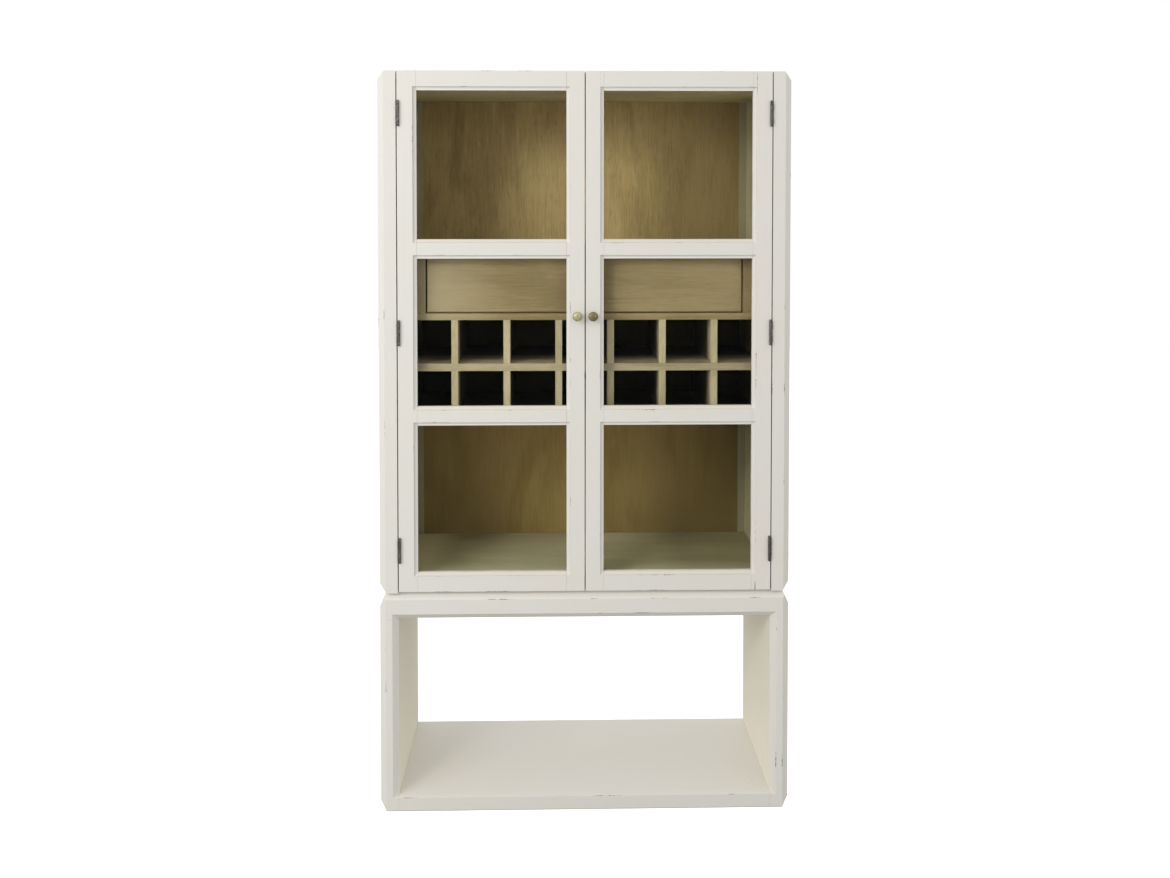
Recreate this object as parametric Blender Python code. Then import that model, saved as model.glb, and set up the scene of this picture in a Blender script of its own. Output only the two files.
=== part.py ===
# Bar cabinet: a glazed two-door case with drawers and a bottle rack, on an open base shelf.
# Metres, +Z up, front faces towards -Y. The origin is on the floor under the middle of the whole.

import math

import bmesh
import bpy
from mathutils import Matrix, Vector

# Overall size
WIDTH = 1.100
DEPTH = 0.430
HEIGHT = 1.980
BASE_HEIGHT = 0.590
FIT = 0.0003            # gap left between pieces that touch
KNOB_REACH = 0.024      # how far a knob stands in front of its door

FRONT = -(DEPTH - KNOB_REACH) / 2
BACK = FRONT + DEPTH
OUTER = WIDTH / 2

# Long front chamfer, and the corners sawn off the ends of the posts (across, up)
POST_CHAMFER = 0.0175
CASE_CLIP = (0.020, 0.022)
BASE_TOP_CLIP = (0.018, 0.038)
BASE_FOOT_CLIP = (0.018, 0.022)

# Base unit
BASE_TOP_THICK = 0.0715
BASE_SIDE_THICK = 0.050
BASE_FLOOR_THICK = 0.0385
BASE_EDGE = 0.015       # flare round the sides and head of the opening
BASE_FLOOR_EDGE = 0.002
BASE_INNER = OUTER - BASE_SIDE_THICK
BASE_HEAD = BASE_HEIGHT - BASE_TOP_THICK

# Upper case
POST = 0.050
CASE_TOP_THICK = 0.0445
CASE_BOTTOM_THICK = 0.035
CARCASS_SETBACK = 0.024  # the top and bottom stand behind the doors
HOUSING = 0.010         # how far the top, bottom and back are let into the sides
TONGUE_THICK = 0.016    # tongue on each end of the top and the bottom
BACK_REBATE = 0.016
BACK_THICK = 0.012
CASE_FOOT = BASE_HEIGHT + FIT
CASE_INNER = OUTER - POST
CASE_REAR = BACK - BACK_REBATE

# Rack and drawer unit
BOARD = 0.018
RACK_SETBACK = 0.048
RACK_FLOOR = 1.039      # underside of the board below the rack
RACK_SHELF = (1.178, 1.198)
RACK_HEAD = 1.316       # underside of the board below the drawers
DECK = 1.503            # underside of the deck above the drawers
COLUMNS = 7
RACK_INNER = CASE_INNER - FIT - BOARD
RACK_FRONT = FRONT + RACK_SETBACK
RACK_REAR = CASE_REAR - FIT
RACK_MIDDLE = (RACK_FRONT + RACK_REAR) / 2
RACK_DEPTH = (RACK_FRONT, RACK_REAR)

# Drawers
OPENING_OUTER = 0.428   # edge of the drawer opening, from the middle of the case
PARTITION = 0.022
DRAWER_GAP = 0.003
DRAWER_FRONT_THICK = 0.020
DRAWER_BOX_LENGTH = 0.330
DRAWER_BOX_HEIGHT = 0.134
DRAWER_WALL = 0.012
DRAWER_FLOOR = 0.008
SCOOP = (0.110, 0.018)  # finger scoop, across and deep
SCOOP_STEPS = 12
GUIDE = (0.014, 0.012)  # strip beside each drawer, across and up
GUIDE_PLAY = 0.001
GUIDE_STOP = 0.020      # how far the strips end in front of the back
DRAWER_NEAR = PARTITION / 2 + DRAWER_GAP
DRAWER_FAR = OPENING_OUTER - DRAWER_GAP
DRAWER_BED = RACK_HEAD + BOARD

# Doors
DOOR_THICK = 0.022
DOOR_FOOT = BASE_HEIGHT + 0.004
HINGE_GAP = 0.003
MEETING_GAP = 0.003
HINGE_STILE = 0.0505
MEETING_STILE = 0.048
BOTTOM_RAIL = 0.051
MIDDLE_RAIL = 0.0515
TOP_RAIL = 0.051
COVE = (0.0095, 0.008)  # moulding round each pane, across and deep
COVE_STEPS = 4
LIP = 0.012             # depth at which the glass rebate starts
REBATE = 0.007
GLASS_THICK = 0.004
TENON_LENGTH = 0.032
TENON_DEPTH = (0.007, 0.015)  # front and back of a tenon, behind the face of the door
TENON_SHOULDER = 0.012
PAST = 0.002            # how far a cutter passes the surface that it opens
DOOR_OUTER = CASE_INNER - HINGE_GAP
DOOR_INNER = MEETING_GAP / 2
PANE_NEAR = DOOR_INNER + MEETING_STILE
PANE_FAR = DOOR_OUTER - HINGE_STILE
PANE_HEIGHT = (HEIGHT - DOOR_FOOT - BOTTOM_RAIL - 2 * MIDDLE_RAIL - TOP_RAIL) / 3

# Knobs: profile as (radius, distance in front of the door)
KNOB_ACROSS = 0.0207
KNOB_UP = 1.3315
STUD = 0.0025
STUD_LENGTH = 0.015
KNOB_STEPS = 20
KNOB_PROFILE = (
    (0, -STUD_LENGTH), (STUD, -STUD_LENGTH), (STUD, FIT), (0.008, FIT), (0.008, 0.0018),
    (0.0055, 0.004), (0.0045, 0.008), (0.0085, 0.0115), (0.012, 0.0145), (0.01275, 0.0175),
    (0.0115, 0.021), (0.008, 0.0232), (0, KNOB_REACH))

# Hinges: the leaves stand in the gap beside the door, and the barrel in front of the door's edge
BARREL = 0.0035
PIN = 0.0015
HINGE_OFFSET = 0.005    # the axis, from the middle of the gap
LEAF = (0.0002, 0.0012)  # inner and outer face of a leaf, from the middle of the gap
LEAF_DEPTH = 0.020
LEAF_RELIEF = 0.0008    # front edge of a leaf beside the other leaf's knuckle, behind the door's face
LEAF_HEIGHT = 0.054
TAB = 0.0007            # how far a leaf's tab reaches in front of the axis
STRAP = (0.0005, 0.0002)  # strap from a tab to its knuckle: half its thickness, and its shoulder
HINGE_INSET = 0.112     # centre of a hinge, from the end of the door
HINGE_STEPS = 16
HINGE_X = CASE_INNER - HINGE_GAP / 2 - HINGE_OFFSET
HINGE_Y = FRONT - BARREL - FIT
KNUCKLE = (LEAF_HEIGHT - 2 * FIT) / 3

# Tip on each end of a barrel: profile as (radius, distance past the barrel)
HINGE_TIP = (
    (BARREL, 0), (0.0025, 0), (0.0025, 0.002), (BARREL, 0.002), (BARREL, 0.0045),
    (0.003, 0.0063), (0.0017, 0.0075), (0, 0.008))

SIDES = {-1: "left", 1: "right"}


# Finishes

def finish(name, colour, roughness, metallic=0.0, transmission=0.0):
    material = bpy.data.materials.new(name)
    material.use_nodes = True
    shader = material.node_tree.nodes["Principled BSDF"]
    shader.inputs["Base Color"].default_value = (*colour, 1.0)
    shader.inputs["Roughness"].default_value = roughness
    shader.inputs["Metallic"].default_value = metallic
    shader.inputs["Transmission Weight"].default_value = transmission
    material.diffuse_color = (*colour, 1.0)
    return material


def make_finishes():
    return {
        "paint": finish("worn_white_paint", (0.78, 0.75, 0.69), 0.55),
        "wood": finish("brown_wood", (0.22, 0.16, 0.075), 0.6),
        "pale_wood": finish("pale_wood", (0.45, 0.37, 0.22), 0.6),
        "washed_wood": finish("washed_wood", (0.40, 0.33, 0.21), 0.6),
        "glass": finish("clear_glass", (0.92, 0.95, 0.94), 0.03, transmission=1.0),
        "brass": finish("brass", (0.55, 0.46, 0.22), 0.32, metallic=1.0),
        "iron": finish("aged_iron", (0.09, 0.08, 0.07), 0.5, metallic=0.9),
    }


# Modelling helpers

def piece(name, bm, material, origin, parent=None, smooth=False):
    # The mesh is drawn in its place, then moved back so that the object's location carries it.
    bmesh.ops.recalc_face_normals(bm, faces=bm.faces)
    if bm.calc_volume(signed=True) < 0:
        bmesh.ops.reverse_faces(bm, faces=bm.faces)
    bmesh.ops.translate(bm, verts=bm.verts, vec=-Vector(origin))
    mesh = bpy.data.meshes.new(name)
    bm.to_mesh(mesh)
    bm.free()
    if smooth:
        mesh.shade_smooth()
        mesh.set_sharp_from_angle(angle=math.radians(35))
    if material:
        mesh.materials.append(material)
    item = bpy.data.objects.new(name, mesh)
    bpy.context.scene.collection.objects.link(item)
    item.parent = parent
    item.location = Vector(origin) - (parent.location if parent else Vector())
    return item


def pivot(name, place):
    empty = bpy.data.objects.new(name, None)
    empty.empty_display_size = 0.05
    empty.location = place
    bpy.context.scene.collection.objects.link(empty)
    return empty


def guide(name, bm):
    item = piece(name, bm, None, (0, 0, 0))
    item.hide_render = True
    item.display_type = "WIRE"
    return item


def combine(item, operation, *guides):
    for tool in guides:
        modifier = item.modifiers.new(tool.name, "BOOLEAN")
        modifier.operation = operation
        modifier.solver = "EXACT"
        modifier.object = tool


def span(side, near, far):
    # Two distances from the middle of the cabinet, as low and high X on that side.
    return tuple(sorted((side * near, side * far)))


def grown(pair, margin):
    return (pair[0] - margin, pair[1] + margin)


def middle(x, y, z):
    return (sum(x) / 2, sum(y) / 2, sum(z) / 2)


def block(x, y, z, bm=None):
    # A box between low and high X, Y and Z, on its own or added to a mesh.
    if bm is None:
        bm = bmesh.new()
    size = Matrix.Diagonal((x[1] - x[0], y[1] - y[0], z[1] - z[0], 1.0))
    bmesh.ops.create_cube(bm, size=1.0, matrix=Matrix.Translation(middle(x, y, z)) @ size)
    return bm


def board(name, x, y, z, material, parent=None):
    return piece(name, block(x, y, z), material, middle(x, y, z), parent)


def extruded(outline, direction):
    # A flat outline of points, pushed along a direction.
    bm = bmesh.new()
    face = bm.faces.new([bm.verts.new(point) for point in outline])
    pushed = bmesh.ops.extrude_face_region(bm, geom=[face])["geom"]
    moved = [item for item in pushed if isinstance(item, bmesh.types.BMVert)]
    bmesh.ops.translate(bm, verts=moved, vec=direction)
    return bm


def lofted(loops, bm=None):
    # Loops of points joined one after the other, and closed at both ends.
    if bm is None:
        bm = bmesh.new()
    rings = [[bm.verts.new(point) for point in loop] for loop in loops]
    for ring, following in zip(rings, rings[1:]):
        for i in range(len(ring)):
            bm.faces.new((ring[i - 1], ring[i], following[i], following[i - 1]))
    bm.faces.new(rings[0])
    bm.faces.new(rings[-1])
    return bm


def turned(profile, steps, centre, turn=Matrix.Identity(4), ring=False):
    # A profile of (radius, height) points spun about the vertical; a ring's profile is closed.
    bm = bmesh.new()
    verts = [bm.verts.new((radius, 0.0, height)) for radius, height in profile]
    edges = [bm.edges.new(pair) for pair in zip(verts, verts[1:])]
    if ring:
        edges.append(bm.edges.new((verts[-1], verts[0])))
    bmesh.ops.spin(bm, geom=verts + edges, cent=(0, 0, 0), axis=(0, 0, 1), angle=math.tau,
                   steps=steps, use_merge=True)
    bmesh.ops.remove_doubles(bm, verts=bm.verts, dist=1e-6)
    bmesh.ops.transform(bm, matrix=Matrix.Translation(centre) @ turn, verts=bm.verts)
    return bm


def saw(bm, point, normal):
    # Takes off what the normal points to, and closes the cut.
    geometry = bm.verts[:] + bm.edges[:] + bm.faces[:]
    sawn = bmesh.ops.bisect_plane(
        bm, geom=geometry, dist=1e-6, plane_co=point, plane_no=normal, clear_outer=True)
    edges = [item for item in sawn["geom_cut"] if isinstance(item, bmesh.types.BMEdge)]
    bmesh.ops.edgeloop_fill(bm, edges=edges)


def clip_corner(bm, side, end, clip, upwards):
    # Saws the outer corner off the end of a panel, at the top (upwards 1) or at the foot (-1).
    across, up = clip
    saw(bm, (side * (OUTER - across), 0, end), (side * up, 0, upwards * across))


# Base unit

def base_opening():
    # The opening flares out to the front, so that its four edges are chamfered with mitred corners.
    loops = []
    for y, flare, floor_flare in ((FRONT + BASE_EDGE, 0, 0),
                                  (FRONT - BASE_EDGE, 2 * BASE_EDGE, 2 * BASE_FLOOR_EDGE)):
        x = BASE_INNER + flare
        foot = BASE_FLOOR_THICK - floor_flare
        head = BASE_HEAD + flare
        loops.append([(-x, y, foot), (x, y, foot), (x, y, head), (-x, y, head)])
    return guide("base_opening", lofted(loops))


def base_top(paint, opening):
    bm = block((-OUTER, OUTER), (FRONT, BACK), (BASE_HEAD, BASE_HEIGHT))
    saw(bm, (0, FRONT, BASE_HEIGHT - POST_CHAMFER), (0, -1, 1))
    for side in SIDES:
        saw(bm, (side * OUTER, FRONT + POST_CHAMFER, 0), (side, -1, 0))
        clip_corner(bm, side, BASE_HEIGHT, BASE_TOP_CLIP, 1)
    combine(piece("base_top", bm, paint, (0, 0, BASE_HEAD)), "DIFFERENCE", opening)


def base_side(side, paint, opening):
    outline = [(BASE_INNER, FRONT), (OUTER - POST_CHAMFER, FRONT), (OUTER, FRONT + POST_CHAMFER),
               (OUTER, BACK), (BASE_INNER, BACK)]
    bm = extruded([(side * x, y, 0) for x, y in outline], (0, 0, BASE_HEAD - FIT))
    clip_corner(bm, side, 0, BASE_FOOT_CLIP, -1)
    panel = piece("base_side_" + SIDES[side], bm, paint, (side * BASE_INNER, 0, 0))
    combine(panel, "DIFFERENCE", opening)


def base_floor(paint, opening):
    slab = board("base_floor", (-BASE_INNER + FIT, BASE_INNER - FIT), (FRONT, BACK),
                 (0, BASE_FLOOR_THICK), paint)
    combine(slab, "DIFFERENCE", opening)


# Upper case

def tongued_board(name, z, material, housings):
    # A board whose shoulders meet the sides, with a tongue let into a housing at each end.
    shoulder = CASE_INNER - FIT
    tip = shoulder + HOUSING
    tongue = grown((sum(z) / 2, sum(z) / 2), TONGUE_THICK / 2)
    y = (FRONT + CARCASS_SETBACK, CASE_REAR)
    right = [(shoulder, z[0]), (shoulder, tongue[0]), (tip, tongue[0]),
             (tip, tongue[1]), (shoulder, tongue[1]), (shoulder, z[1])]
    outline = right + [(-x, height) for x, height in reversed(right)]
    bm = extruded([(x, y[0], height) for x, height in outline], (0, y[1] - y[0], 0))
    piece(name, bm, material, (0, y[0], z[0]))
    for side in SIDES:
        block(span(side, shoulder - PAST, tip + FIT), grown(y, FIT), grown(tongue, FIT), housings)


def case_boards(finishes):
    housings = bmesh.new()
    tongued_board("case_top", (HEIGHT - CASE_TOP_THICK, HEIGHT), finishes["paint"], housings)
    tongued_board("case_bottom", (CASE_FOOT, BASE_HEIGHT + CASE_BOTTOM_THICK), finishes["wood"], housings)
    return guide("case_housings", housings)


def case_side(side, paint, housings):
    rebate = CASE_INNER + HOUSING
    outline = [(CASE_INNER, FRONT), (OUTER - POST_CHAMFER, FRONT), (OUTER, FRONT + POST_CHAMFER),
               (OUTER, BACK), (rebate, BACK), (rebate, CASE_REAR), (CASE_INNER, CASE_REAR)]
    bm = extruded([(side * x, y, CASE_FOOT) for x, y in outline], (0, 0, HEIGHT - CASE_FOOT))
    clip_corner(bm, side, HEIGHT, CASE_CLIP, 1)
    clip_corner(bm, side, CASE_FOOT, CASE_CLIP, -1)
    panel = piece("case_side_" + SIDES[side], bm, paint, (side * CASE_INNER, 0, CASE_FOOT))
    combine(panel, "DIFFERENCE", housings)


def back_panel(wood):
    board("back_panel", grown((-CASE_INNER, CASE_INNER), HOUSING - FIT),
          (CASE_REAR + FIT, CASE_REAR + FIT + BACK_THICK), (BASE_HEIGHT + PAST, HEIGHT - PAST), wood)


# Rack and drawer unit

def divider_centres():
    pitch = (2 * RACK_INNER + BOARD) / COLUMNS
    return [pitch * (i + 1) - RACK_INNER - BOARD / 2 for i in range(COLUMNS - 1)]


def rack_frame(wood):
    wide = grown((-CASE_INNER, CASE_INNER), -FIT)
    board("rack_bottom", wide, RACK_DEPTH, (RACK_FLOOR, RACK_FLOOR + BOARD), wood)
    board("drawer_deck", wide, RACK_DEPTH, (DECK, DECK + BOARD), wood)
    for side, label in SIDES.items():
        board("rack_end_" + label, span(side, RACK_INNER, RACK_INNER + BOARD), RACK_DEPTH,
              (RACK_FLOOR + BOARD + FIT, DECK - FIT), wood)


def rack_top(wood):
    # The board under the drawers carries a strip beside each drawer that keeps it straight.
    slab = board("rack_top", grown((-RACK_INNER, RACK_INNER), -FIT), RACK_DEPTH,
                 (RACK_HEAD, DRAWER_BED), wood)
    near = DRAWER_FAR + GUIDE_PLAY
    strips = bmesh.new()
    for side in SIDES:
        block(span(side, near, near + GUIDE[0]),
              (RACK_FRONT + DRAWER_FRONT_THICK + FIT, RACK_REAR - GUIDE_STOP),
              (DRAWER_BED - BOARD / 2, DRAWER_BED + GUIDE[1]), strips)
    combine(slab, "UNION", guide("drawer_strips", strips))


def rack_shelf(wood):
    # Slotted from its rear edge to its middle, so that its front edge runs through.
    shelf = board("rack_shelf", grown((-RACK_INNER, RACK_INNER), -FIT), RACK_DEPTH, RACK_SHELF, wood)
    slots = bmesh.new()
    for x in divider_centres():
        block(grown((x, x), BOARD / 2 + FIT), (RACK_MIDDLE - FIT / 2, RACK_REAR + PAST),
              grown(RACK_SHELF, PAST), slots)
    combine(shelf, "DIFFERENCE", guide("shelf_slots", slots))


def rack_dividers(wood):
    # Slotted from their front edges to their middle, to take the shelf.
    slot = guide("divider_slot", block((-RACK_INNER, RACK_INNER), (
        RACK_FRONT - PAST, RACK_MIDDLE + FIT / 2), grown(RACK_SHELF, FIT)))
    for number, x in enumerate(divider_centres(), start=1):
        divider = board("rack_divider_%d" % number, grown((x, x), BOARD / 2), RACK_DEPTH,
                        (RACK_FLOOR + BOARD + FIT, RACK_HEAD - FIT), wood)
        combine(divider, "DIFFERENCE", slot)


def drawer_bays(wood):
    tall = (DRAWER_BED + FIT, DECK - FIT)
    board("drawer_partition", (-PARTITION / 2, PARTITION / 2), RACK_DEPTH, tall, wood)
    for side, label in SIDES.items():
        board("drawer_stile_" + label, span(side, OPENING_OUTER, RACK_INNER - FIT),
              (RACK_FRONT, RACK_FRONT + DRAWER_FRONT_THICK), tall, wood)


# Drawers

def drawer_front(side, wood, slide):
    left, right = span(side, DRAWER_NEAR, DRAWER_FAR)
    foot = DRAWER_BED + DRAWER_GAP
    head = DECK - DRAWER_GAP
    centre = (left + right) / 2
    outline = [(left, foot), (right, foot), (right, head)]
    for step in range(SCOOP_STEPS + 1):
        angle = math.pi * step / SCOOP_STEPS
        outline.append((centre + SCOOP[0] / 2 * math.cos(angle), head - SCOOP[1] * math.sin(angle)))
    outline.append((left, head))
    bm = extruded([(x, RACK_FRONT, z) for x, z in outline], (0, DRAWER_FRONT_THICK, 0))
    piece(SIDES[side] + "_drawer_front", bm, wood, (centre, RACK_FRONT, foot), slide)


def drawer_box(side, wood, slide):
    foot = DRAWER_BED + FIT
    front = RACK_FRONT + DRAWER_FRONT_THICK + FIT
    x = span(side, DRAWER_NEAR, DRAWER_FAR)
    bm = block(x, (front, front + DRAWER_BOX_LENGTH), (foot, foot + DRAWER_BOX_HEIGHT))
    top = max(bm.faces, key=lambda face: face.calc_center_median().z)
    bmesh.ops.inset_region(bm, faces=[top], thickness=DRAWER_WALL, use_even_offset=True)
    bottom = bmesh.ops.extrude_discrete_faces(bm, faces=[top])["faces"][0]
    bmesh.ops.translate(bm, verts=bottom.verts, vec=(0, 0, DRAWER_FLOOR - DRAWER_BOX_HEIGHT))
    piece(SIDES[side] + "_drawer_box", bm, wood, (sum(x) / 2, front, foot), slide)


def drawer(side, finishes):
    centre = side * (DRAWER_NEAR + DRAWER_FAR) / 2
    slide = pivot(SIDES[side] + "_drawer", (centre, RACK_FRONT, DRAWER_BED))
    drawer_front(side, finishes["washed_wood"], slide)
    drawer_box(side, finishes["pale_wood"], slide)


# Doors

def door_rails():
    # The rails from the bottom up, each with its name and its low and high Z.
    rails = []
    foot = DOOR_FOOT
    for name, height in (("bottom_rail", BOTTOM_RAIL), ("lower_rail", MIDDLE_RAIL),
                         ("upper_rail", MIDDLE_RAIL), ("top_rail", TOP_RAIL)):
        rails.append((name, (foot, foot + height)))
        foot += height + PANE_HEIGHT
    return rails


def door_panes():
    # The panes from the bottom up, each with its name and its low and high Z.
    heights = [z for name, z in door_rails()]
    names = ("glass_bottom", "glass_middle", "glass_top")
    return [(name, (low[1], high[0])) for name, low, high in zip(names, heights, heights[1:])]


def pane_openings(side):
    # Rebate for the glass, straight sight edge, then a cove that opens to the front.
    rings = [(DOOR_THICK + PAST, REBATE), (LIP, REBATE), (LIP, 0)]
    for step in range(COVE_STEPS + 1):
        angle = math.pi / 2 * (1 - step / COVE_STEPS)
        rings.append((COVE[1] * math.sin(angle), COVE[0] * math.cos(angle)))
    rings.append((-PAST, COVE[0]))
    bm = bmesh.new()
    for name, heights in door_panes():
        loops = []
        for behind, margin in rings:
            left, right = grown(span(side, PANE_NEAR, PANE_FAR), margin)
            foot, head = grown(heights, margin)
            y = FRONT + behind
            loops.append([(left, y, foot), (right, y, foot), (right, y, head), (left, y, head)])
        lofted(loops, bm)
    return guide(SIDES[side] + "_door_openings", bm)


def tenon_section(z):
    return (FRONT + TENON_DEPTH[0], FRONT + TENON_DEPTH[1]), grown(z, -TENON_SHOULDER)


def door_mortises(side):
    bm = bmesh.new()
    for name, heights in door_rails():
        y, z = tenon_section(heights)
        for end, inward in ((PANE_NEAR, -1), (PANE_FAR, 1)):
            deepest = end + inward * TENON_LENGTH
            block(span(side, end - inward * PAST, deepest), grown(y, FIT), grown(z, FIT), bm)
    return guide(SIDES[side] + "_door_mortises", bm)


def knob_hole(side):
    reach = STUD_LENGTH + FIT
    profile = [(0, -reach), (STUD + FIT, -reach), (STUD + FIT, PAST), (0, PAST)]
    place = (side * KNOB_ACROSS, FRONT, KNOB_UP)
    return guide(SIDES[side] + "_knob_hole",
                 turned(profile, KNOB_STEPS, place, Matrix.Rotation(math.pi / 2, 4, "X")))


def door_stiles(side, paint, hinge, openings):
    mortises = door_mortises(side)
    for name, near, far in (("hinge_stile", PANE_FAR, DOOR_OUTER), ("meeting_stile", DOOR_INNER, PANE_NEAR)):
        stile = board(SIDES[side] + "_door_" + name, span(side, near, far),
                      (FRONT, FRONT + DOOR_THICK), (DOOR_FOOT, HEIGHT), paint, hinge)
        combine(stile, "DIFFERENCE", openings, mortises)
    combine(stile, "DIFFERENCE", knob_hole(side))


def door_rail(side, name, heights, paint, hinge, openings):
    # A rail with a stub tenon at each end.
    near, far = PANE_NEAR + FIT, PANE_FAR - FIT
    full = ((FRONT, FRONT + DOOR_THICK), heights)
    tenon = tenon_section(heights)
    reach = TENON_LENGTH - 2 * FIT
    loops = []
    for across, (y, z) in ((near - reach, tenon), (near, tenon), (near, full),
                           (far, full), (far, tenon), (far + reach, tenon)):
        x = side * across
        loops.append([(x, y[0], z[0]), (x, y[1], z[0]), (x, y[1], z[1]), (x, y[0], z[1])])
    rail = piece(SIDES[side] + "_door_" + name, lofted(loops), paint,
                 (side * near, FRONT, heights[0]), hinge)
    combine(rail, "DIFFERENCE", openings)


def door_glass(side, glass, hinge):
    x = grown(span(side, PANE_NEAR, PANE_FAR), REBATE - FIT)
    y = (FRONT + LIP + FIT, FRONT + LIP + FIT + GLASS_THICK)
    for name, heights in door_panes():
        board(SIDES[side] + "_door_" + name, x, y, grown(heights, REBATE - FIT), glass, hinge)


def door_knob(side, brass, hinge):
    place = (side * KNOB_ACROSS, FRONT, KNOB_UP)
    bm = turned(KNOB_PROFILE, KNOB_STEPS, place, Matrix.Rotation(math.pi / 2, 4, "X"))
    piece(SIDES[side] + "_door_knob", bm, brass, place, hinge, smooth=True)


def door(side, finishes):
    hinge = pivot(SIDES[side] + "_door", (side * HINGE_X, HINGE_Y, DOOR_FOOT))
    openings = pane_openings(side)
    door_stiles(side, finishes["paint"], hinge, openings)
    for name, heights in door_rails():
        door_rail(side, name, heights, finishes["paint"], hinge, openings)
    door_glass(side, finishes["glass"], hinge)
    door_knob(side, finishes["brass"], hinge)
    door_hinges(side, finishes["iron"], hinge)


# Hinges

def leaf_plate(name, side, inward, centre, knuckles):
    # The flat of a leaf, with tabs that run forward beside its own knuckles.
    tip = -TAB
    front = LEAF_RELIEF + BARREL + FIT
    back = LEAF_DEPTH + BARREL + FIT
    half = LEAF_HEIGHT / 2
    joint = KNUCKLE / 2
    if knuckles == "outer":
        joint += FIT
        outline = [(tip, -half), (back, -half), (back, half), (tip, half), (tip, joint),
                   (front, joint), (front, -joint), (tip, -joint)]
    else:
        outline = [(front, -half), (back, -half), (back, half), (front, half), (front, joint),
                   (tip, joint), (tip, -joint), (front, -joint)]
    x = side * (HINGE_OFFSET + inward * LEAF[0])
    thick = side * inward * (LEAF[1] - LEAF[0])
    points = [Vector(centre) + Vector((x, y, z)) for y, z in outline]
    return guide(name + "_plate", extruded(points, (thick, 0, 0)))


def leaf_straps(name, side, inward, centre, knuckles, near):
    # The bends of a leaf, from inside each of its knuckles to the middle of its tab.
    far = HINGE_OFFSET + inward * sum(LEAF) / 2
    bm = bmesh.new()
    for low, high in knuckles:
        x, y, z = span(side, near, far), (-STRAP[0], STRAP[0]), grown((low, high), -STRAP[1])
        block(x, y, z, bm)
    bmesh.ops.translate(bm, verts=bm.verts, vec=centre)
    return guide(name + "_straps", bm)


def frame_leaf(name, side, centre, iron):
    # The two outer knuckles, the pin between them and the tips, in one turning.
    half = LEAF_HEIGHT / 2
    joint = KNUCKLE / 2 + FIT
    profile = [(radius, -half - past) for radius, past in reversed(HINGE_TIP)]
    profile += [(BARREL, -joint), (PIN, -joint), (PIN, joint), (BARREL, joint)]
    profile += [(radius, half + past) for radius, past in HINGE_TIP]
    leaf = piece(name, turned(profile, HINGE_STEPS, centre), iron, centre, smooth=True)
    straps = leaf_straps(name, side, 1, centre, ((-half, -joint), (joint, half)), PIN / 2)
    combine(leaf, "UNION", leaf_plate(name, side, 1, centre, "outer"), straps)


def door_leaf(name, side, centre, iron, hinge):
    # The middle knuckle, bored for the pin.
    joint = KNUCKLE / 2
    bore = PIN + FIT
    profile = [(bore, -joint), (BARREL, -joint), (BARREL, joint), (bore, joint)]
    bm = turned(profile, HINGE_STEPS, centre, ring=True)
    leaf = piece(name, bm, iron, centre, hinge, smooth=True)
    straps = leaf_straps(name, side, -1, centre, ((-joint, joint),), (bore + BARREL) / 2)
    combine(leaf, "UNION", leaf_plate(name, side, -1, centre, "middle"), straps)


def door_hinges(side, iron, hinge):
    places = (("top", HEIGHT - HINGE_INSET), ("middle", (HEIGHT + DOOR_FOOT) / 2),
              ("bottom", DOOR_FOOT + HINGE_INSET))
    for place, z in places:
        name = "%s_hinge_%s" % (SIDES[side], place)
        centre = (side * HINGE_X, HINGE_Y, z)
        frame_leaf(name + "_frame_leaf", side, centre, iron)
        door_leaf(name + "_door_leaf", side, centre, iron, hinge)


# The whole cabinet

def build():
    for item in list(bpy.data.objects):
        bpy.data.objects.remove(item)
    finishes = make_finishes()
    paint, wood = finishes["paint"], finishes["wood"]
    opening = base_opening()
    housings = case_boards(finishes)
    base_top(paint, opening)
    base_floor(paint, opening)
    back_panel(wood)
    rack_frame(wood)
    rack_top(wood)
    rack_shelf(wood)
    rack_dividers(wood)
    drawer_bays(wood)
    for side in SIDES:
        base_side(side, paint, opening)
        case_side(side, paint, housings)
        drawer(side, finishes)
        door(side, finishes)


build()
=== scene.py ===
import math

import bmesh
import bpy
from mathutils import Matrix, Vector


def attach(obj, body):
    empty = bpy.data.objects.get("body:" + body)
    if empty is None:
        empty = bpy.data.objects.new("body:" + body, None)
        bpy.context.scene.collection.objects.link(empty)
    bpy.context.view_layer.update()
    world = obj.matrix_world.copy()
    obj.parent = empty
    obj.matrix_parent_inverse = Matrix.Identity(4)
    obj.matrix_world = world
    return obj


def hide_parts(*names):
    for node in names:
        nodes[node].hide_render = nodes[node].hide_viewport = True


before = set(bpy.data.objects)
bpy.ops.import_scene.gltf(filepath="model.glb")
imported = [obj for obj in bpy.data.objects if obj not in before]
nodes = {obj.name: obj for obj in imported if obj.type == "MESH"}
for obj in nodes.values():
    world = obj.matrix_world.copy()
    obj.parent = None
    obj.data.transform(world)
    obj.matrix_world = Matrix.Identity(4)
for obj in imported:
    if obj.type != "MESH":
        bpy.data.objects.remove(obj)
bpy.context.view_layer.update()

# Bar cabinet: worn off-white case on an open base, brown wood inside.
# Metres, +Z up, the front looks along -Y. x, y and z below are places in the cabinet.

sides = {"left": -1, "right": 1}

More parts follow.
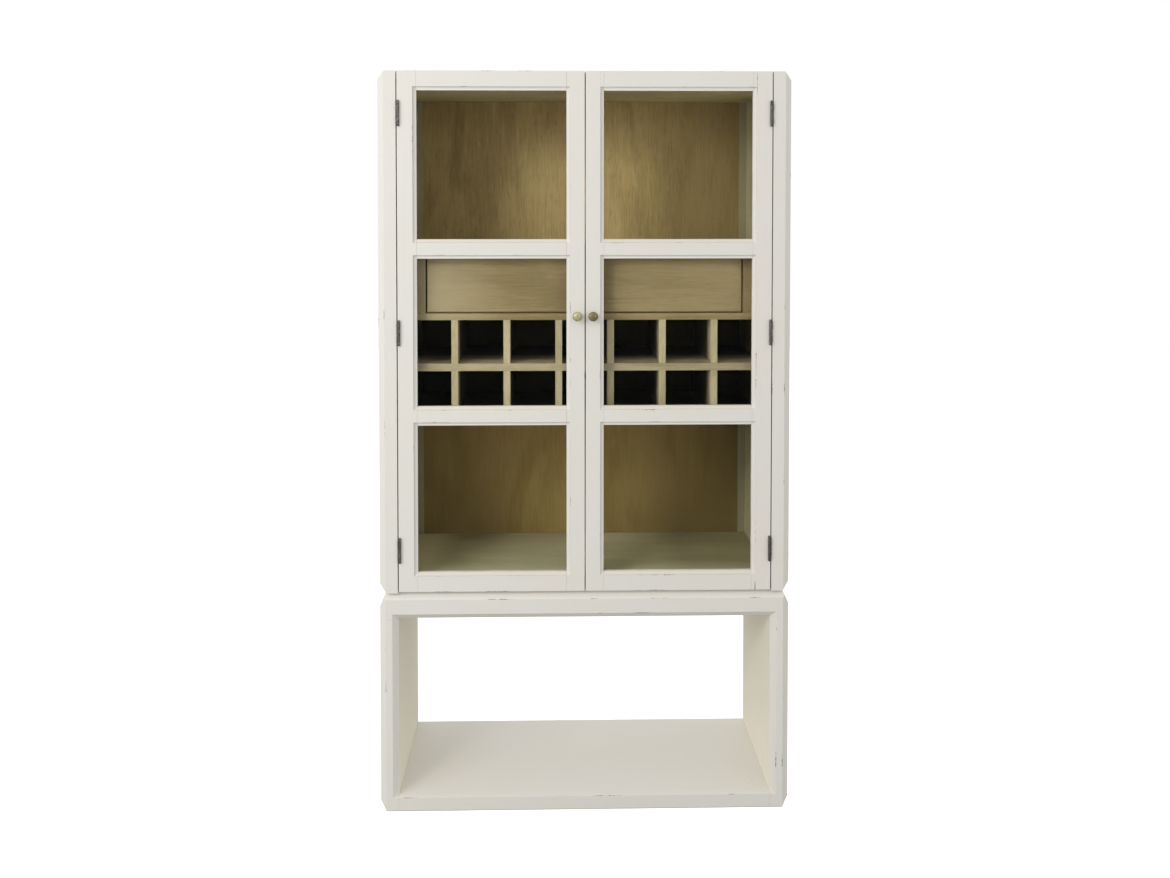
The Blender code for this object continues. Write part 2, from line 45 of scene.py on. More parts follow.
cabinet = {"front": -0.203, "caseRear": 0.211, "panelMiddle": 0.2150, "rear": 0.227,
           "inner": 0.500, "outer": 0.550, "chamfer": 0.0175, "rackFoot": 1.0394,
           "topFront": -0.179, "topUnderside": 1.9355, "top": 1.980}
base = {"flare": 0.515, "floorFront": 0.0365, "floorTop": 0.0385, "head": 0.5185, "flaredHead": 0.5335,
        "chamferFoot": 0.5725, "top": 0.590}
past = {"side": 0.0004, "ceiling": 0.0006}     # how far a finish reaches past its face
door = {
    "near": 0.0015, "far": 0.497, "foot": 0.594, "back": -0.181,
    "paneNear": 0.0495, "paneFar": 0.4465, "cove": 0.0095,
    "panes": {"bottom": (0.645, 1.0387), "middle": (1.0902, 1.4838), "top": (1.5353, 1.929)},
}


# mesh helpers

sharpAngle = math.radians(38)
cutGap, mergeGap = 1e-7, 1e-6


def makePiece(name, bm, finish, body, smooth=False):
    bmesh.ops.recalc_face_normals(bm, faces=bm.faces)
    mesh = bpy.data.meshes.new(name)
    bm.to_mesh(mesh)
    bm.free()
    mesh.materials.append(finish)
    if smooth:
        mesh.shade_smooth()
        mesh.set_sharp_from_angle(angle=sharpAngle)
    item = bpy.data.objects.new(name, mesh)
    bpy.context.scene.collection.objects.link(item)
    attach(item, body)
    return item


def addBlock(bm, low, high):
    centre = [(a + b) / 2 for a, b in zip(low, high)]
    size = [b - a for a, b in zip(low, high)]
    return bmesh.ops.create_cube(
        bm, size=1.0, matrix=Matrix.Translation(centre) @ Matrix.Diagonal((*size, 1.0)))["verts"]


def addCopy(bm, part):
    # moves a finished part into the bmesh of its piece
    bmesh.ops.recalc_face_normals(part, faces=part.faces)
    mesh = bpy.data.meshes.new("part")
    part.to_mesh(mesh)
    part.free()
    bm.from_mesh(mesh)
    bpy.data.meshes.remove(mesh)


def roundEdges(bm, edges, width, segments=2):
    bmesh.ops.bevel(bm, geom=edges, offset=width, offset_type="OFFSET", segments=segments,
                    profile=0.5, affect="EDGES", material=-1, clamp_overlap=True)


def edgesOf(verts):
    return list({edge for vert in verts for edge in vert.link_edges})


def sawOff(bm, verts, point, normal):
    faces = list({face for vert in verts for face in vert.link_faces})
    cut = bmesh.ops.bisect_plane(bm, geom=verts + edgesOf(verts) + faces, dist=cutGap,
                                 plane_co=point, plane_no=normal, clear_outer=True)
    rim = [item for item in cut["geom_cut"] if isinstance(item, bmesh.types.BMEdge)]
    bmesh.ops.edgeloop_fill(bm, edges=rim)


def addTurned(bm, profile, steps, centre, axis):
    # a profile of (radius, height) spun round the axis
    part = bmesh.new()
    ring = [part.verts.new((radius, 0.0, height)) for radius, height in profile]
    line = [part.edges.new(pair) for pair in zip(ring, ring[1:])]
    bmesh.ops.spin(part, geom=ring + line, cent=(0, 0, 0), axis=(0, 0, 1), angle=math.tau,
                   steps=steps, use_merge=True)
    bmesh.ops.remove_doubles(part, verts=part.verts, dist=mergeGap)
    turn = Vector((0, 0, 1)).rotation_difference(Vector(axis)).to_matrix().to_4x4()
    bmesh.ops.transform(part, matrix=Matrix.Translation(centre) @ turn, verts=part.verts)
    addCopy(bm, part)


# finish helpers

def newFinish(name):
    finish = bpy.data.materials.new(name)
    finish.use_nodes = True
    return finish, finish.node_tree, finish.node_tree.nodes["Principled BSDF"]


def feed(tree, socket, value):
    if isinstance(value, bpy.types.NodeSocket):
        tree.links.new(value, socket)
    elif socket.type == "RGBA" and len(value) == 3:
        socket.default_value = (*value, 1.0)
    else:
        socket.default_value = value


def addNode(tree, kind, inputs, **settings):
    node = tree.nodes.new("ShaderNode" + kind)
    for setting, value in settings.items():
        setattr(node, setting, value)
    for socket, value in inputs.items():
        feed(tree, node.inputs[socket], value)
    return node


def place(tree, stretch=(1, 1, 1), shift=(0, 0, 0)):
    where = addNode(tree, "TexCoord", {}).outputs["Object"]
    return addNode(tree, "Mapping", {"Vector": where, "Location": shift, "Scale": stretch}).outputs[0]


def drawnOut(tree, axis, across, along, shift=0.0):
    # coordinates that run fast across the axis and slowly along it
    stretch = [across] * 3
    stretch["xyz".index(axis)] = along
    return place(tree, stretch, (shift, shift, shift))


def cloud(tree, where, scale=1.0, detail=4.0, rough=0.55, twist=0.0):
    return addNode(tree, "TexNoise", {"Vector": where, "Scale": scale, "Detail": detail,
                                      "Roughness": rough, "Distortion": twist}).outputs["Fac"]


def work(tree, operation, first, second=0.0, third=0.0):
    return addNode(tree, "Math", {0: first, 1: second, 2: third}, operation=operation).outputs[0]


def spread(tree, value, low, high, newLow=0.0, newHigh=1.0):
    return addNode(tree, "MapRange", {"Value": value, "From Min": low, "From Max": high,
                                      "To Min": newLow, "To Max": newHigh}).outputs[0]


def blend(tree, share, first, second):
    return addNode(tree, "Mix", {0: share, 6: first, 7: second}, data_type="RGBA").outputs[2]


def blendValue(tree, share, first, second):
    return addNode(tree, "Mix", {0: share, 2: first, 3: second}, data_type="FLOAT").outputs[0]


def coordinates(tree):
    where = addNode(tree, "TexCoord", {}).outputs["Object"]
    return addNode(tree, "SeparateXYZ", {0: where}).outputs


def paintLightAndShade(tree, colour, lightAndShadeMarks, limit=None):
    # painted light and shade: each mark rises from its low to its high place, or with "in" lies between
    # the two;
    # |x| is both sides, -z makes it rise downwards too, and the limit keeps all of them to one
    # side of a plane
    axes = coordinates(tree)
    withoutPaintedLight = colour
    for where, low, high, paintedLightAndShade, share in lightAndShadeMarks:
        along = axes["xyz".index(where.strip("in |")[0])]
        if "|" in where:
            along = work(tree, "ABSOLUTE", along)
        if where.endswith("-z"):
            along = work(tree, "SUBTRACT", along, axes[2])
        if where.startswith("in"):
            inside = work(tree, "MULTIPLY", work(tree, "GREATER_THAN", along, low),
                          work(tree, "LESS_THAN", along, high))
            amount = work(tree, "MULTIPLY", inside, share)
        else:
            amount = spread(tree, along, low, high, 0.0, share)
        colour = blend(tree, amount, colour, paintedLightAndShade)
    if limit:
        axis, operation, value = limit
        colour = blend(tree, work(tree, operation, axes["xyz".index(axis)], value), withoutPaintedLight, colour)
    return colour


def relief(tree, shader, height, distance, strength):
    bump = addNode(tree, "Bump", {"Height": height, "Distance": distance, "Strength": strength})
    tree.links.new(bump.outputs[0], shader.inputs["Normal"])


# paint: brushed chalky coat, rubbed through along the arrises in short dashes

paintLook = {
    "colour": (0.810, 0.783, 0.722), "colourShare": 0.5,
    "warm": (0.785, 0.748, 0.672), "cool": (0.775, 0.762, 0.716), "toneRange": (0.38, 0.66),
    "stroke": (0.700, 0.668, 0.606), "strokeShare": 0.16, "strokeRange": (0.30, 0.75),
    "strokeAcross": 240.0, "strokeAlong": 6.0,
    "undercoat": (0.34, 0.30, 0.24), "bareWood": (0.100, 0.075, 0.050), "bareRange": (0.4, 0.6),
    "wearWidth": 0.0038, "wearRange": (0.570, 0.80), "frayRange": (0.34, 0.62), "wearEdge": 0.0005,
    "knockStretch": (1, 1, 0.45), "knockRange": (0.80, 0.83), "knockShare": 0.7,
    # painted contact shadow: the paint darkens in its lowest few millimetres, where the cabinet stands
    # on the floor
    "grime": (0.16, 0.145, 0.12), "grimeHeight": 0.0026, "grimeShare": 0.85,
    "roughRange": (0.3, 0.7), "roughness": (0.46, 0.62), "wornRoughness": 0.75,
    "gritHeight": 0.25, "depth": 0.0004, "strength": 0.28,
    "yellowed": (0.905, 0.850, 0.705),     # painted light: a lighter, yellower tone for the base's inner faces, which lie out of the light
    # painted light on the downward-facing cove above each pane, painted shade on the upward-facing cove
    # below it
    "coveHead": (0.940, 0.905, 0.820), "coveFoot": (0.755, 0.695, 0.600), "paintedLightAndShadeShare": 0.9,
}
paintClouds = {     # scale, detail, roughness
    "brush": (1.0, 5.0, 0.6), "tone": (4.3, 3.0, 0.55), "patch": (13.0, 3.0, 0.6),
    "fray": (330.0, 3.0, 0.7), "knock": (62.0, 2.0, 0.5), "grit": (700.0, 2.0, 0.55),
}


def arrises(axis, value, *others):
    # the lines where one plane meets each of the others
    return [((axis, value), other) for other in others]


def lineDistance(tree, lines):
    # how far a point lies from the nearest of the arrises, each the meeting of two planes
    axes = coordinates(tree)
    nearest = 1.0
    for planes in lines:
        gap = 0.0
        for axis, value in planes:
            along = axes["xyz".index(axis)]
            if axis == "x":
                along = work(tree, "ABSOLUTE", along)
            offset = work(tree, "ABSOLUTE", work(tree, "SUBTRACT", along, value))
            gap = work(tree, "MAXIMUM", gap, offset)
        nearest = work(tree, "MINIMUM", nearest, gap)
    return nearest


def paintLayers(tree, stroke, lines, lightAndShadeMarks=()):
    look = paintLook
    stretched = drawnOut(tree, stroke, look["strokeAcross"], look["strokeAlong"])
    brush = cloud(tree, stretched, *paintClouds["brush"])
    tone = cloud(tree, place(tree), *paintClouds["tone"])
    colour = blend(tree, spread(tree, tone, *look["toneRange"]), look["warm"], look["cool"])
    colour = blend(tree, look["colourShare"], colour, look["colour"])
    colour = paintLightAndShade(tree, colour, lightAndShadeMarks)
    streak = spread(tree, brush, *look["strokeRange"], 0.0, look["strokeShare"])
    colour = blend(tree, streak, colour, look["stroke"])
    patch = cloud(tree, place(tree), *paintClouds["patch"])
    fray = cloud(tree, place(tree), *paintClouds["fray"])
    reach = work(tree, "MULTIPLY", spread(tree, patch, *look["wearRange"]), look["wearWidth"])
    reach = work(tree, "MULTIPLY", reach, spread(tree, fray, *look["frayRange"]))
    inside = work(tree, "SUBTRACT", reach, lineDistance(tree, lines))
    worn = spread(tree, inside, 0.0, look["wearEdge"])
    # small knocks anywhere
    knock = cloud(tree, place(tree, look["knockStretch"]), *paintClouds["knock"])
    knocked = spread(tree, knock, *look["knockRange"], 0.0, look["knockShare"])
    worn = work(tree, "MAXIMUM", worn, knocked)
    bare = blend(tree, spread(tree, fray, *look["bareRange"]), look["undercoat"], look["bareWood"])
    colour = blend(tree, worn, colour, bare)
    # painted contact shadow at the foot
    foot = spread(tree, coordinates(tree)[2], 0.0, look["grimeHeight"], look["grimeShare"], 0.0)
    colour = blend(tree, foot, colour, look["grime"])
    brushed = spread(tree, brush, *look["roughRange"], *look["roughness"])
    rough = blendValue(tree, worn, brushed, look["wornRoughness"])
    grit = cloud(tree, place(tree), *paintClouds["grit"])
    height = work(tree, "MULTIPLY_ADD", grit, look["gritHeight"], brush)
    height = work(tree, "SUBTRACT", height, worn)
    return colour, rough, height


def paintFinish(name, stroke, lines, lightAndShadeMarks=()):
    finish, tree, shader = newFinish(name)
    colour, rough, height = paintLayers(tree, stroke, lines, lightAndShadeMarks)
    feed(tree, shader.inputs["Base Color"], colour)
    feed(tree, shader.inputs["Roughness"], rough)
    relief(tree, shader, height, paintLook["depth"], paintLook["strength"])
    return finish


# wood: growth rings are the contour lines of a cloud drawn out along the grain

woodLook = {
    "tones": ((0.190, 0.127, 0.050), (0.465, 0.326, 0.134), (0.645, 0.485, 0.236)),
    "along": "z", "across": 4.4, "lengthwise": 0.9, "rings": 6.0, "waver": 1.2, "figure": 0.50,
    "patch": 0.44, "fibre": 0.36, "fleck": 0.34, "pores": 0.5, "shift": 0.0, "paintedLightAndShade": [], "limit": None,
}
grain = {
    "swell": (3.0, 0.45), "ringRange": (0.0, 0.45), "patchShift": 3.0, "poreRange": (0.60, 0.74),
    "poreTone": 0.35, "poreDepth": 0.6, "roughRange": (0.3, 0.7), "roughness": (0.66, 0.52),
    "gloss": 0.15,     # bare wood has hardly any
    "depth": 0.0003, "strength": 0.35,
}
grainClouds = {     # across and along the grain, detail, roughness, twist
    "patch": (8.0, 3.2, 4.0, 0.55, 0.6), "fibre": (430.0, 8.0, 6.0, 0.65, 0.0),
    "fleck": (210.0, 34.0, 2.0, 0.55, 0.0), "pore": (1500.0, 36.0, 2.0, 0.55, 0.0),
}
grainTurns = {     # where each cloud turns the wood light, and where dark
    "patch": ((0.42, 0.68), (0.50, 0.32)), "fibre": ((0.48, 0.72), (0.48, 0.28)),
    "fleck": ((0.58, 0.72), (0.40, 0.28)),
}
caseWood = {"tones": ((0.340, 0.290, 0.155), (0.450, 0.398, 0.228), (0.550, 0.490, 0.300)),
            "figure": 0.45, "patch": 0.55, "fleck": 0.30}
# painted light: a lighter copy of the case wood for the underside of the top
ceilingWoodPaintedLight = {**caseWood,
               "tones": ((0.480, 0.425, 0.230), (0.630, 0.570, 0.340), (0.740, 0.680, 0.430))}
# painted shade: the rack's dividers and shelves turn near-black deeper in, where the cells lie in
# shadow
paintedCellShade = (0.030, 0.022, 0.012)
rackWood = {"tones": ((0.320, 0.250, 0.135), (0.470, 0.382, 0.228), (0.590, 0.490, 0.325)),
            "across": 9.0, "patch": 0.50, "fleck": 0.46,
            "paintedLightAndShade": [("y", -0.140, -0.070, paintedCellShade, 0.95)]}
shelfWood = {**rackWood,
             "tones": ((0.280, 0.220, 0.122), (0.398, 0.322, 0.194), (0.490, 0.404, 0.272)),
             "along": "x", "paintedLightAndShade": [("y", -0.105, 0.025, paintedCellShade, 0.95)],
             "limit": ("z", "GREATER_THAN", cabinet["rackFoot"])}     # not on the underside
# painted light and shade on the case floor: darker on the right, lighter at the middle, at the left and
# at the front
floorPaintedLightAndShade = [("x", 0.08, 0.30, (0.240, 0.200, 0.105), 0.56),
              ("|x|", 0.28, 0.20, (0.760, 0.700, 0.460), 0.14),
              ("x", -0.36, -0.44, (0.760, 0.700, 0.440), 0.62),
              ("y", -0.060, -0.170, (0.800, 0.740, 0.480), 0.40)]
# painted light: the inner face of the left case side made lighter, where it lies in shade
leftSidePaintedLight = [("x", -0.40, -0.45, (0.860, 0.800, 0.520), 0.75)]
drawerWood = {"tones": ((0.192, 0.135, 0.056), (0.300, 0.222, 0.106), (0.380, 0.292, 0.153)),
              "along": "x", "across": 11.0, "rings": 4.0, "waver": 0.5, "figure": 0.65,
              "patch": 0.50, "fleck": 0.35,
              # painted light: the drawer wood turns lighter towards the left
              "paintedLightAndShade": [("x", -0.22, -0.40, (0.460, 0.375, 0.235), 0.55)]}
# painted shade: near-black lines at the drawers' outer gaps and a dark brown line under their fronts
gapPaintedShade = [("|x|", 0.4228, 0.4238, (0.014, 0.009, 0.006), 0.92),
            ("z", 1.3395, 1.3382, (0.085, 0.036, 0.014), 0.75)]
boxWood = {"tones": ((0.30, 0.235, 0.135), (0.40, 0.330, 0.200), (0.46, 0.390, 0.250)),
           "along": "y", "patch": 0.30}
boxJoint = {"front": -0.1347, "back": 0.1953, "thick": 0.012, "foot": 1.3343, "finger": 0.0268,
            "endGrain": (0.20, 0.145, 0.075), "share": 0.7}
# painted light and shade on the back panel: darker towards the sides, the right and the bottom, a
# lighter strip by each side wall, near black behind the rack
backPaintedLightAndShade = [("|x|", 0.12, 0.46, (0.140, 0.092, 0.030), 0.24),
             ("x", 0.16, 0.45, (0.140, 0.092, 0.030), 0.44),
             ("z", 1.40, 1.00, (0.390, 0.255, 0.048), 0.42),
             ("|x|-z", -0.82, -0.34, (0.085, 0.056, 0.020), 0.54),
             ("x-z", -0.90, -0.30, (0.085, 0.056, 0.020), 0.42),
             ("in |x|", 0.478, 0.520, (0.36, 0.33, 0.22), 0.65),
             ("in z", 1.050, 1.318, (0.016, 0.012, 0.007), 0.94)]


def grainCloud(tree, name, axis, shift=0.0):
    across, along, *kind = grainClouds[name]
    return cloud(tree, drawnOut(tree, axis, across, along, shift), 1.0, *kind)


def woodLayers(tree, changes):
    look = {**woodLook, **changes}
    axis, shift = look["along"], look["shift"]
    stretched = drawnOut(tree, axis, look["across"], look["lengthwise"], shift)
    swell = cloud(tree, stretched, 1.0, *grain["swell"], look["waver"])
    ring = work(tree, "PINGPONG", work(tree, "MULTIPLY", swell, look["rings"]), 1.0)
    clouds = {"patch": grainCloud(tree, "patch", axis, shift + grain["patchShift"]),
              "fibre": grainCloud(tree, "fibre", axis), "fleck": grainCloud(tree, "fleck", axis)}
    pore = spread(tree, grainCloud(tree, "pore", axis), *grain["poreRange"])
    dark, middle, light = look["tones"]
    figure = spread(tree, ring, *grain["ringRange"], 1.0 - look["figure"], 1.0)
    colour = blend(tree, figure, dark, middle)
    for name, turns in grainTurns.items():
        for turn, tone in zip(turns, (light, dark)):
            colour = blend(tree, spread(tree, clouds[name], *turn, 0.0, look[name]), colour, tone)
    colour = blend(tree, work(tree, "MULTIPLY", pore, look["pores"]), colour,
                   [value * grain["poreTone"] for value in dark])
    # the look's painted light and shade, if any
    colour = paintLightAndShade(tree, colour, look["paintedLightAndShade"], look["limit"])
    rough = spread(tree, clouds["fibre"], *grain["roughRange"], *grain["roughness"])
    height = work(tree, "SUBTRACT", clouds["fibre"], work(tree, "MULTIPLY", pore, grain["poreDepth"]))
    return colour, rough, height


def boxFingers(tree, colour):
    # end grain shows in every second finger of the corner joints
    y, z = coordinates(tree)[1:3]
    front = work(tree, "LESS_THAN", y, boxJoint["front"] + boxJoint["thick"])
    back = work(tree, "GREATER_THAN", y, boxJoint["back"] - boxJoint["thick"])
    level = work(tree, "DIVIDE", work(tree, "SUBTRACT", z, boxJoint["foot"]), boxJoint["finger"])
    finger = work(tree, "GREATER_THAN", work(tree, "FRACT", level), 0.5)
    ends = work(tree, "MULTIPLY", work(tree, "MAXIMUM", front, back), finger)
    return blend(tree, work(tree, "MULTIPLY", ends, boxJoint["share"]), colour, boxJoint["endGrain"])


def woodFinish(name, changes, fingers=False):
    finish, tree, shader = newFinish(name)
    colour, rough, height = woodLayers(tree, changes)
    if fingers:
        colour = boxFingers(tree, colour)
    feed(tree, shader.inputs["Base Color"], colour)
    feed(tree, shader.inputs["Roughness"], rough)
    shader.inputs["Specular IOR Level"].default_value = grain["gloss"]
    relief(tree, shader, height, grain["depth"], grain["strength"])
    return finish


mixedRelief = {"depth": 0.00035, "strength": 0.3}


def paintAndWood(name, stroke, lines, changes, region):
    # painted outside, bare wood where every row of the region holds
    finish, tree, shader = newFinish(name)
    paint = paintLayers(tree, stroke, lines)
    wood = woodLayers(tree, changes)
    axes = coordinates(tree)
    inside = 1.0
    for axis, operation, value in region:
        along = axes["xyz".index(axis)]
        if axis == "x":
            along = work(tree, "ABSOLUTE", along)
        inside = work(tree, "MULTIPLY", inside, work(tree, operation, along, value))
    feed(tree, shader.inputs["Base Color"], blend(tree, inside, paint[0], wood[0]))
    feed(tree, shader.inputs["Roughness"], blendValue(tree, inside, paint[1], wood[1]))
    height = blendValue(tree, inside, paint[2], wood[2])
    relief(tree, shader, height, mixedRelief["depth"], mixedRelief["strength"])
    return finish


# glass, metal, plastic and felt

glassLook = {
    "colour": (0.965, 0.985, 0.970), "shadow": (0.93, 0.95, 0.94),
    "ior": 1.085,     # reflections as faint as in the photograph
    "smearStretch": (1, 1, 0.5), "smear": (9.0, 4.0), "smearRange": (0.45, 0.75),
    "smearRoughness": 0.03,
}
metalLook = {
    "cloud": (160.0, 5.0, 0.65), "cloudRange": (0.40, 0.66), "rubStretch": (1, 1, 2.6),
    "rub": (900.0, 3.0), "roughRange": (0.3, 0.7), "depth": 0.00008, "strength": 0.35,
}
plainLook = {
    "cloud": (4.0, 0.7), "cloudRange": (0.35, 0.65), "roughRange": (0.3, 0.7), "roughMore": 0.15,
    "strength": 0.5,
}


def glassFinish():
    look = glassLook
    finish, tree, shader = newFinish("clearGlass")
    shader.inputs["Base Color"].default_value = (*look["colour"], 1.0)
    shader.inputs["Transmission Weight"].default_value = 1.0
    shader.inputs["IOR"].default_value = look["ior"]
    smear = cloud(tree, place(tree, look["smearStretch"]), *look["smear"])
    rough = spread(tree, smear, *look["smearRange"], 0.0, look["smearRoughness"])
    feed(tree, shader.inputs["Roughness"], rough)
    clear = addNode(tree, "BsdfTransparent", {"Color": look["shadow"]})
    path = addNode(tree, "LightPath", {})
    mix = addNode(tree, "MixShader", {0: path.outputs["Is Shadow Ray"], 1: shader.outputs[0],
                                      2: clear.outputs[0]})
    feed(tree, tree.nodes["Material Output"].inputs["Surface"], mix.outputs[0])
    return finish


def metalFinish(name, bright, dull, roughness, metallic):
    look = metalLook
    finish, tree, shader = newFinish(name)
    cloudy = cloud(tree, place(tree), *look["cloud"])
    rub = cloud(tree, place(tree, look["rubStretch"]), *look["rub"])
    colour = blend(tree, spread(tree, cloudy, *look["cloudRange"]), bright, dull)
    feed(tree, shader.inputs["Base Color"], colour)
    feed(tree, shader.inputs["Roughness"], spread(tree, cloudy, *look["roughRange"], *roughness))
    shader.inputs["Metallic"].default_value = metallic
    relief(tree, shader, rub, look["depth"], look["strength"])
    return finish


def plainFinish(name, colour, second, scale, roughness, depth):
    look = plainLook
    finish, tree, shader = newFinish(name)
    speck = cloud(tree, place(tree), scale, *look["cloud"])
    specked = blend(tree, spread(tree, speck, *look["cloudRange"]), colour, second)
    rough = spread(tree, speck, *look["roughRange"], roughness, roughness + look["roughMore"])
    feed(tree, shader.inputs["Base Color"], specked)
    feed(tree, shader.inputs["Roughness"], rough)
    relief(tree, shader, speck, depth, look["strength"])
    return finish


front, rear, inner, outer = (cabinet[key] for key in ("front", "rear", "inner", "outer"))
shoulder, setBack = outer - cabinet["chamfer"], front + cabinet["chamfer"]
outsideLines = arrises("x", outer, ("y", setBack), ("y", rear)) + arrises("x", shoulder, ("y", front))
caseLines = outsideLines + arrises("x", inner, ("y", front), ("y", rear)) + arrises(
    "z", cabinet["top"], ("y", front), ("y", rear), ("x", outer), ("x", inner))
cove = door["cove"]
coveLines = [edge for low, high in door["panes"].values()
             for edge in arrises("y", front, ("z", low - cove), ("z", high + cove))]
paintedLightAndShadeShare = paintLook["paintedLightAndShadeShare"]
# painted light and shade on the coves of the rails
covePaintedLightAndShade = [row for low, high in door["panes"].values()
              for row in (("in z", high, high + cove, paintLook["coveHead"], paintedLightAndShadeShare),
                          ("in z", low - cove, low, paintLook["coveFoot"], paintedLightAndShadeShare))]
stileEdges = ("x", door["near"]), ("x", door["far"])
stileCoves = ("x", door["paneNear"] - cove), ("x", door["paneFar"] + cove)
stileLines = arrises("y", front, *stileEdges, *stileCoves) + arrises("y", door["back"], *stileEdges)
railLines = coveLines + arrises("y", front, ("z", door["foot"]), ("z", cabinet["top"]))
baseLines = outsideLines + arrises("y", front, ("x", base["flare"])) + arrises("y", rear, ("x", inner))
slabLines = (arrises("y", front, ("z", base["chamferFoot"]), ("z", base["flaredHead"]))
             + arrises("z", base["top"], ("y", setBack), ("y", rear), ("x", outer))
             + arrises("z", base["head"], ("y", rear)))
floorLines = (arrises("z", base["floorFront"], ("y", front))
              + arrises("z", base["floorTop"], ("y", rear)))
topLines = arrises("z", cabinet["top"], ("y", cabinet["topFront"]), ("y", cabinet["caseRear"]))
pastSide = inner + past["side"]
innerSide = [("x", "LESS_THAN", pastSide), ("y", "GREATER_THAN", door["back"]),
             ("y", "LESS_THAN", cabinet["caseRear"] + past["side"])]
ceiling = [("z", "LESS_THAN", cabinet["topUnderside"] + past["ceiling"])]
finishes = {
    "stile": paintFinish("paintOnStiles", "z", stileLines),
    "rail": paintFinish("paintOnRails", "x", railLines, covePaintedLightAndShade),
    # painted light on the base's inner faces
    "baseSide": paintFinish("paintOnBaseSides", "z", baseLines,
                            [("in |x|", 0.0, pastSide, paintLook["yellowed"], paintedLightAndShadeShare)]),
    "baseTop": paintFinish("paintOnBaseTop", "x", slabLines),
    "baseFloor": paintFinish("paintOnBaseFloor", "x", floorLines),
    "caseSide": paintAndWood("paintOnCaseSides", "z", caseLines,
                             {**caseWood, "shift": 5.0, "paintedLightAndShade": leftSidePaintedLight}, innerSide),
    "caseTop": paintAndWood("paintOnCaseTop", "x", topLines,
                            {**ceilingWoodPaintedLight, "along": "x", "shift": 2.0}, ceiling),
    "bead": paintFinish("paintOnBeads", "z", []),
    "back": woodFinish("woodOnBack", {"patch": 0.32, "fibre": 0.42, "paintedLightAndShade": backPaintedLightAndShade,
                                      "limit": ("y", "LESS_THAN", cabinet["panelMiddle"])}),
    "floorWood": woodFinish("woodOnFloor",
                            {**caseWood, "along": "x", "shift": 4.0, "paintedLightAndShade": floorPaintedLightAndShade}),
    "frameUpright": woodFinish("woodOnDrawerFrame", {**drawerWood, "along": "z"}),
    "rackUpright": woodFinish("woodOnDividers", rackWood),
    "rackLevel": woodFinish("woodOnShelves", shelfWood),
    "frameLevel": woodFinish("woodOnDrawerDecks", drawerWood),
    "drawerFront": woodFinish("washedWood", {**drawerWood, "paintedLightAndShade": drawerWood["paintedLightAndShade"] + gapPaintedShade}),
    "drawerBox": woodFinish("paleBoxWood", boxWood, True),
    "glass": glassFinish(),
    "brass": metalFinish("agedBrass", (0.60, 0.55, 0.33), (0.38, 0.34, 0.18), (0.40, 0.58), 0.7),
    # painted shade: a darker copy of the brass for the right knob
    "shadedBrass": metalFinish("tarnishedBrass", (0.30, 0.26, 0.12), (0.16, 0.135, 0.06),
                             (0.45, 0.62), 0.7),
    "iron": metalFinish("agedIron", (0.20, 0.184, 0.166), (0.07, 0.062, 0.054), (0.40, 0.62), 0.8),
    "steel": metalFinish("steelScrews", (0.50, 0.49, 0.47), (0.30, 0.29, 0.27), (0.30, 0.45), 1.0),
    "catch": plainFinish("brownPlastic", (0.085, 0.055, 0.035), (0.11, 0.075, 0.05),
                         240.0, 0.40, 0.00005),
    "felt": plainFinish("feltPad", (0.40, 0.38, 0.34), (0.55, 0.53, 0.49), 1600.0, 0.80, 0.0002),
}
print("finishes made")


# CAD nodes: soft arrises and finishes

softArris = {"paint": 0.0003, "wood": 0.0004, "iron": 0.0002}
arrisAngle, weldGap = math.radians(40), 0.00002
nodeFinishes = [     # part of a node's name, its finish and its arris; the first that fits counts
    ("base_top", "baseTop", "paint"), ("base_floor", "baseFloor", "paint"),
    ("base_side_", "baseSide", "paint"), ("case_side_", "caseSide", "paint"),
    ("case_top", "caseTop", "paint"), ("case_bottom", "floorWood", "wood"),
    ("back_panel", "back", "wood"), ("rack_divider", "rackUpright", "wood"),
    ("rack_end", "frameUpright", "wood"), ("drawer_stile", "frameUpright", "wood"),
    ("drawer_partition", "frameUpright", "wood"), ("rack_top", "frameLevel", "wood"),
    ("rack_", "rackLevel", "wood"), ("drawer_deck", "frameLevel", "wood"),
    ("_stile", "stile", "paint"), ("_rail", "rail", "paint"),
    ("_glass_", "glass", None), ("_knob", "brass", None), ("_leaf", "iron", "iron"),
    ("_drawer_front", "drawerFront", "wood"), ("_drawer_box", "drawerBox", "wood"),
]


def dress(name, finish, arris):
    item = nodes[name]
    for spot in item.material_slots:
        spot.link = "OBJECT"
        spot.material = finishes[finish]
    if arris:
        weld = item.modifiers.new("merge", "WELD")
        weld.merge_threshold = weldGap
        bevel = item.modifiers.new("softArris", "BEVEL")
        bevel.width = softArris[arris]
        bevel.segments = 2
        bevel.limit_method = "ANGLE"
        bevel.angle_limit = arrisAngle
        bevel.use_clamp_overlap = False
        normals = item.modifiers.new("evenShading", "WEIGHTED_NORMAL")
        normals.keep_sharp = True


for name in nodes:
    finish, arris = next(row[1:] for row in nodeFinishes if row[0] in name)
    dress(name, finish, arris)
print("CAD nodes dressed")


# knobs

